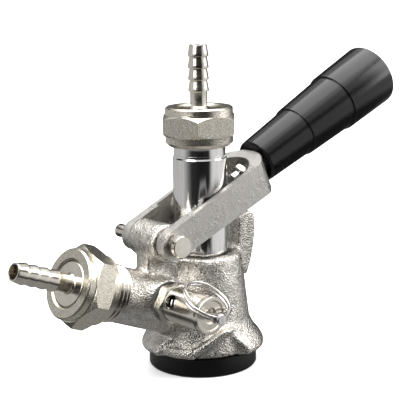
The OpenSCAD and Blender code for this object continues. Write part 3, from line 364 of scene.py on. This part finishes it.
def body_casting():
    """The cast body with the soft fillets that a sand casting has between its neck, arm, web and lugs."""
    node = frame["nodes"]["body"]
    mesh = node.data.copy()
    piece = bpy.data.objects.new("body_casting", mesh)
    bpy.context.scene.collection.objects.link(piece)
    remesh = piece.modifiers.new("skin", "REMESH")
    remesh.mode, remesh.voxel_size, remesh.adaptivity = "VOXEL", VOXEL * MM, 0.0
    bpy.context.view_layer.update()
    skin = bpy.data.meshes.new_from_object(piece.evaluated_get(bpy.context.evaluated_depsgraph_get()))
    piece.modifiers.clear()
    piece.data = skin
    count = len(skin.vertices)
    co = np.empty(count * 3)
    skin.vertices.foreach_get("co", co)
    co = co.reshape(-1, 3) / MM
    edges = np.empty(len(skin.edges) * 2, dtype=np.int64)
    skin.edges.foreach_get("vertices", edges)
    edges = edges.reshape(-1, 2)
    skin.calc_loop_triangles()
    tris = np.empty(len(skin.loop_triangles) * 3, dtype=np.int64)
    skin.loop_triangles.foreach_get("vertices", tris)
    tris = tris.reshape(-1, 3)
    neighbours = np.bincount(edges.ravel(), minlength=count).astype(float)

    def mean_of_neighbours(points):
        total = np.empty_like(points)
        for k in range(3):
            total[:, k] = (np.bincount(edges[:, 0], weights=points[edges[:, 1], k], minlength=count)
                           + np.bincount(edges[:, 1], weights=points[edges[:, 0], k], minlength=count))
        return total / neighbours[:, None]

    start = co.copy()
    gas = np.array(GAS_AXIS)
    from_gas = start - np.array(GAS_FOOT)
    s = from_gas @ gas
    gas_r = np.linalg.norm(from_gas - np.outer(s, gas), axis=1)
    axis_r = np.hypot(start[:, 0], start[:, 1])
    pin_r = np.hypot(start[:, 0] - PIN.x, start[:, 2] - PIN.z)
    # Bores and turned faces stay as machined
    machined = (axis_r < 14.6) & (start[:, 2] < 44.2) & (start[:, 0] < 14.3)
    machined |= (axis_r < 13.0) & (start[:, 0] < 14.3)
    machined |= (gas_r < 9.0) & (s > 12.0)
    machined |= (pin_r < 4.5)
    machined |= (start[:, 2] < 7.9) & (axis_r < 20.0)
    threads = (s > 45.6) & (gas_r < 12.5)
    groove = (np.abs(start[:, 1]) < 3.2) & (start[:, 0] > 18.0) & (start[:, 2] > 48.0)
    fill = np.where(machined | threads | groove, 0.0, 1.0)
    # The foot and its lugs stay crisp
    fill *= np.clip((start[:, 2] - CAST_LUG_TOP) / CAST_FILL_RISE, 0.0, 1.0)
    wear = np.where(machined, 0.0, np.where(threads, 0.5, 1.0))
    for step in range(FILL_ROUNDS):
        a, b, c = co[tris[:, 0]], co[tris[:, 1]], co[tris[:, 2]]
        face_normals = np.cross(b - a, c - a)
        normals = np.zeros_like(co)
        for k in range(3):
            for j in range(3):
                normals[:, k] += np.bincount(tris[:, j], weights=face_normals[:, k], minlength=count)
        normals /= np.linalg.norm(normals, axis=1)[:, None] + 1e-12
        pull = mean_of_neighbours(co) - co
        outward = np.einsum("ij,ij->i", pull, normals)
        hollow = outward > HOLLOW_FROM
        weight = np.where(hollow, fill, 0.0)
        if step < WEAR_ROUNDS:
            weight = np.maximum(weight, wear)
        co += pull * (PULL_SHARE * weight)[:, None]
    # Root of the gas thread, under its separate crests
    from_gas = co - np.array(GAS_FOOT)
    s = from_gas @ gas
    radial = from_gas - np.outer(s, gas)
    gas_r = np.linalg.norm(radial, axis=1)
    root = (s > 46.2) & (s < 59.9) & (gas_r > THREAD_ROOT_R) & (gas_r < 12.0)
    co[root] -= radial[root] * ((gas_r[root] - THREAD_ROOT_R) / gas_r[root])[:, None]
    skin.vertices.foreach_set("co", (co * MM).ravel())
    skin.update()
    skin.shade_smooth()
    dress(piece, "cast_plated")
    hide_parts("body")
    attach(piece, "coupler_body")
    return piece


def gas_arm_thread():
    """Union thread on the gas arm; its first turns show behind the nut."""
    verts, faces = threaded_sleeve(GAS_FOOT, GAS_AXIS, 46.3, 59.6, 11.1, 0.75)
    return piece_from("gas_arm_thread", verts, faces, "coupler_body", "plated")


def stepped_grip():
    """The moulded grip: three cones with rounded shoulders, open at the fork and closed by its cap."""
    foot = PIN + GRIP_AXIS * 57.8
    length, bore_r, bore_l = 74.5, 5.6, 31.2
    profile = [
        (bore_r, bore_l), (bore_r, 0.0), (9.25, 0.0), (10.45, 24.0), (10.5, 24.35), (11.05, 24.3), (12.3, 48.7),
        (12.35, 49.0), (12.95, 48.95), (13.7, length), (12.36, length), (12.36, length - 2.0), (0.0, length - 2.0)]
    radii = [0, 0.4, 0.9, 0.4, 0.15, 0.75, 0.4, 0.15, 0.75, 1.3, 0.12, 0, 0]
    verts, faces = turned([(0.0, bore_l)] + rounded(profile, radii), foot, GRIP_AXIS)
    piece = piece_from("stepped_grip", verts, faces, "pull_grip", "grip_plastic", smooth_angle=40)
    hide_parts("grip")
    return piece


def split_ring():
    """Spring-wire pull ring: two turns of round wire through the knob, leaning back on the valve."""
    radius, wire_r, pitch = 9.1, 0.45, 1.35
    tilt, roll = math.radians(30.0), math.radians(12.0)
    hinge = Vector((math.cos(roll), 0.0, -math.sin(roll)))
    up = Vector((math.sin(roll), 0.0, math.cos(roll)))
    back = Vector((0.0, 1.0, 0.0)) * math.cos(tilt) + up * math.sin(tilt)
    normal = hinge.cross(back)
    hole = RELIEF + Vector((0.0, -40.05, 0.0))
    centre = hole + back * radius
    turns, rings_per_turn, sides = 2, 64, 14
    count = turns * rings_per_turn
    verts, faces = [], []
    for i in range(count + 1):
        a = math.pi + 2 * math.pi * i / rings_per_turn
        out = hinge * math.cos(a) + back * math.sin(a)
        middle = centre + out * radius + normal * (pitch * (i / rings_per_turn - 0.75))
        for k in range(sides):
            b = 2 * math.pi * k / sides
            verts.append(middle + (out * math.cos(b) + normal * math.sin(b)) * wire_r)
    for i in range(count):
        for k in range(sides):
            n = (k + 1) % sides
            faces.append((i * sides + k, (i + 1) * sides + k, (i + 1) * sides + n, i * sides + n))
    faces.append(tuple(reversed(range(sides))))
    faces.append(tuple(count * sides + k for k in range(sides)))
    piece = piece_from("split_ring", verts, faces, "pull_ring", "spring_steel", smooth_angle=60)
    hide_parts("pull_ring")
    return piece


def dress_solids():
    """Gives every solid its finish, and breaks the sharp edges of the turned and cast ones."""
    edge_breaks = {"lever_fork": 0.45, "beer_nut": 0.25, "gas_nut": 0.25, "hinge_pin": 0.3, "beer_tailpiece": 0.12,
                   "gas_tailpiece": 0.12, "relief_body": 0.2, "relief_cap": 0.25, "relief_stem": 0.15,
                   "lock_nut": 0.12, "lock_rod": 0.15, "base_seal": 0.4, "probe": 0.15}
    slots = {entry["node"]: entry["material_slot"] for entry in frame["record"]["subparts"]}
    for name, node in frame["nodes"].items():
        dress(node, "milled" if name in MILLED_NODES else slots[name])
        if name in edge_breaks:
            weld = node.modifiers.new("weld", "WELD")
            weld.merge_threshold = 0.002 * MM
            broken = node.modifiers.new("broken_edges", "BEVEL")
            broken.width, broken.segments, broken.limit_method = edge_breaks[name] * MM, 3, "ANGLE"
            broken.angle_limit, broken.harden_normals = math.radians(28), False
            broken.use_clamp_overlap = True


# ---------------------------------------------------------------- studio

def studio():
    """White paper floor, a room of light and dark bands for the metal to mirror, and soft boxes."""
    size = FLOOR_HALF
    mesh = bpy.data.meshes.new("studio_floor")
    mesh.from_pydata([(-size, -size, 0), (size, -size, 0), (size, size, 0), (-size, size, 0)], [], [(0, 1, 2, 3)])
    floor = bpy.data.objects.new("studio_floor", mesh)
    bpy.context.scene.collection.objects.link(floor)
    material, tree, shader, place = finish_named("pale_paper_sweep", **{
        "Roughness": 0.9, "Emission Color": linear("FFFFFF"), "Emission Strength": 0.3})
    paper = add(tree, "ShaderNodeTexNoise", {"Vector": place, "Scale": 1 / (4 * MM), "Detail": 2.0})
    tint(tree, shader, paper.outputs["Fac"], [(0.3, "F8F8F8"), (0.7, "FCFCFC")])
    mesh.materials.append(material)
    # Metal mirrors the room's bands instead of the floor, as on a small table in a large studio
    floor.visible_glossy = False

    world = bpy.data.worlds.new("studio_room")
    bpy.context.scene.world = world
    world.use_nodes = True
    tree = world.node_tree
    tree.nodes.clear()
    way = add(tree, "ShaderNodeTexCoord").outputs["Generated"]
    split = add(tree, "ShaderNodeSeparateXYZ", {"Vector": way})
    angle = add(tree, "ShaderNodeMath", {0: split.outputs["Y"], 1: split.outputs["X"]}, operation="ARCTAN2")
    turn = add(tree, "ShaderNodeMapRange", {"Value": angle.outputs["Value"], "From Min": -math.pi,
                                            "From Max": math.pi})
    # Round the room from -X through -Y, +X and +Y: wall, dark flags behind the camera, soft box, flag, pale wall
    walls = shades(tree, turn.outputs["Result"], ROOM)
    # From straight down to straight up: grey table, its dark edge, walls, dark wall tops, soft ceiling, dark roof
    height = add(tree, "ShaderNodeMapRange", {"Value": split.outputs["Z"], "From Min": -1.0, "From Max": 1.0})
    layers = shades(tree, height.outputs["Result"], LAYERS)
    steep = add(tree, "ShaderNodeMath", {0: split.outputs["Z"]}, operation="ABSOLUTE")
    off_wall = add(tree, "ShaderNodeMapRange", {"Value": steep.outputs["Value"], "From Min": 0.26, "From Max": 0.36})
    mix = add(tree, "ShaderNodeMixRGB", {"Fac": off_wall.outputs["Result"], "Color1": walls, "Color2": layers})
    # Past the floor's edge the camera sees white paper; only the coupler mirrors the room
    seen = add(tree, "ShaderNodeLightPath").outputs["Is Camera Ray"]
    paper_white = add(tree, "ShaderNodeMixRGB", {"Fac": seen, "Color1": mix.outputs["Color"],
                                                 "Color2": linear("FFFFFF")})
    light = add(tree, "ShaderNodeBackground", {"Color": paper_white.outputs["Color"], "Strength": 1.0})
    add(tree, "ShaderNodeOutputWorld", {"Surface": light.outputs["Background"]})

    ceiling = bpy.data.lights.new("soft_ceiling", "SUN")
    ceiling.energy, ceiling.angle = SKYLIGHT, math.radians(70)
    above = bpy.data.objects.new("soft_ceiling", ceiling)
    above.location = (0.0, 0.0, 2.0)
    bpy.context.scene.collection.objects.link(above)

    for name, place, aim, wide, high, watts in SOFT_BOXES:
        lamp = bpy.data.lights.new(name, "AREA")
        lamp.shape, lamp.size, lamp.size_y, lamp.energy = "RECTANGLE", wide, high, watts
        box = bpy.data.objects.new(name, lamp)
        box.location = Vector(place)
        box.rotation_mode = "QUATERNION"
        box.rotation_quaternion = (Vector(aim) - Vector(place)).to_track_quat("-Z", "Y")
        bpy.context.scene.collection.objects.link(box)


FLOOR_HALF = 14.0   # half the floor's side, in metres

# Brightness of the room by direction, from -180 to 180 degrees about +Z
ROOM = [(0.0, "808080"), (0.04, "303030"), (0.15, "1E1E1E"), (0.25, "262626"), (0.29, "F4F4F4"),
        (0.45, "FFFFFF"), (0.52, "484848"), (0.66, "303030"), (0.72, "C8C8C8"), (0.93, "D6D6D6"), (1.0, "808080")]

# Brightness by height, from straight down to straight up
LAYERS = [(0.0, "A0A0A0"), (0.14, "A0A0A0"), (0.2, "3C3C3C"), (0.3, "464646"), (0.33, "B0B0B0"), (0.62, "A0A0A0"),
          (0.68, "262626"), (0.74, "222222"), (0.8, "FFFFFF"), (0.9, "F4F4F4"), (0.95, "484848"), (1.0, "303030")]

# Name, place, aim, width, height and watts of each soft box
SOFT_BOXES = [
    ("soft_box_left", (-0.9, -0.1, 0.7), (0, 0, 0.06), 0.6, 0.9, 9.0),
    ("soft_box_right", (0.75, -0.55, 0.6), (0, 0, 0.06), 0.5, 0.8, 7.0),
    ("soft_box_top", (0.0, 0.1, 1.1), (0, 0, 0.05), 1.2, 1.0, 10.0),
]
SKYLIGHT = 2.6   # even light from a wide soft ceiling, which keeps the paper white to its far edge


CAMERA_PLACE = (-0.2710, -0.3207, 0.1521)   # metres
CAMERA_TURN = (-40.18, 11.65, -0.93)        # degrees of yaw, look down and roll
CAMERA_FOCUS = 1097.4 / 400                 # focal length over the picture's width


def camera():
    """The photograph's camera, solved from the object's own circles and edges."""
    yaw, pitch, roll = (math.radians(a) for a in CAMERA_TURN)
    right = Vector((math.cos(yaw), math.sin(yaw), 0.0))
    ahead = Vector((-math.sin(yaw) * math.cos(pitch), math.cos(yaw) * math.cos(pitch), -math.sin(pitch)))
    up = right.cross(ahead)
    across = math.cos(roll) * right + math.sin(roll) * up
    upright = -math.sin(roll) * right + math.cos(roll) * up
    data = bpy.data.cameras.new("camera")
    data.sensor_fit, data.sensor_width, data.lens = "HORIZONTAL", 36.0, 36.0 * CAMERA_FOCUS
    data.clip_start, data.clip_end = 0.02, 60.0
    view = bpy.data.objects.new("camera", data)
    turn = Matrix((across, upright, -ahead)).transposed()
    view.matrix_world = Matrix.Translation(Vector(CAMERA_PLACE)) @ turn.to_4x4()
    bpy.context.scene.collection.objects.link(view)
    bpy.context.scene.camera = view
    # Whites stay white, as in the photograph
    bpy.context.scene.view_settings.view_transform = "Standard"


camera()
studio()
dress_solids()
body_casting()
gas_arm_thread()
stepped_grip()
split_ring()
bpy.context.view_layer.update()
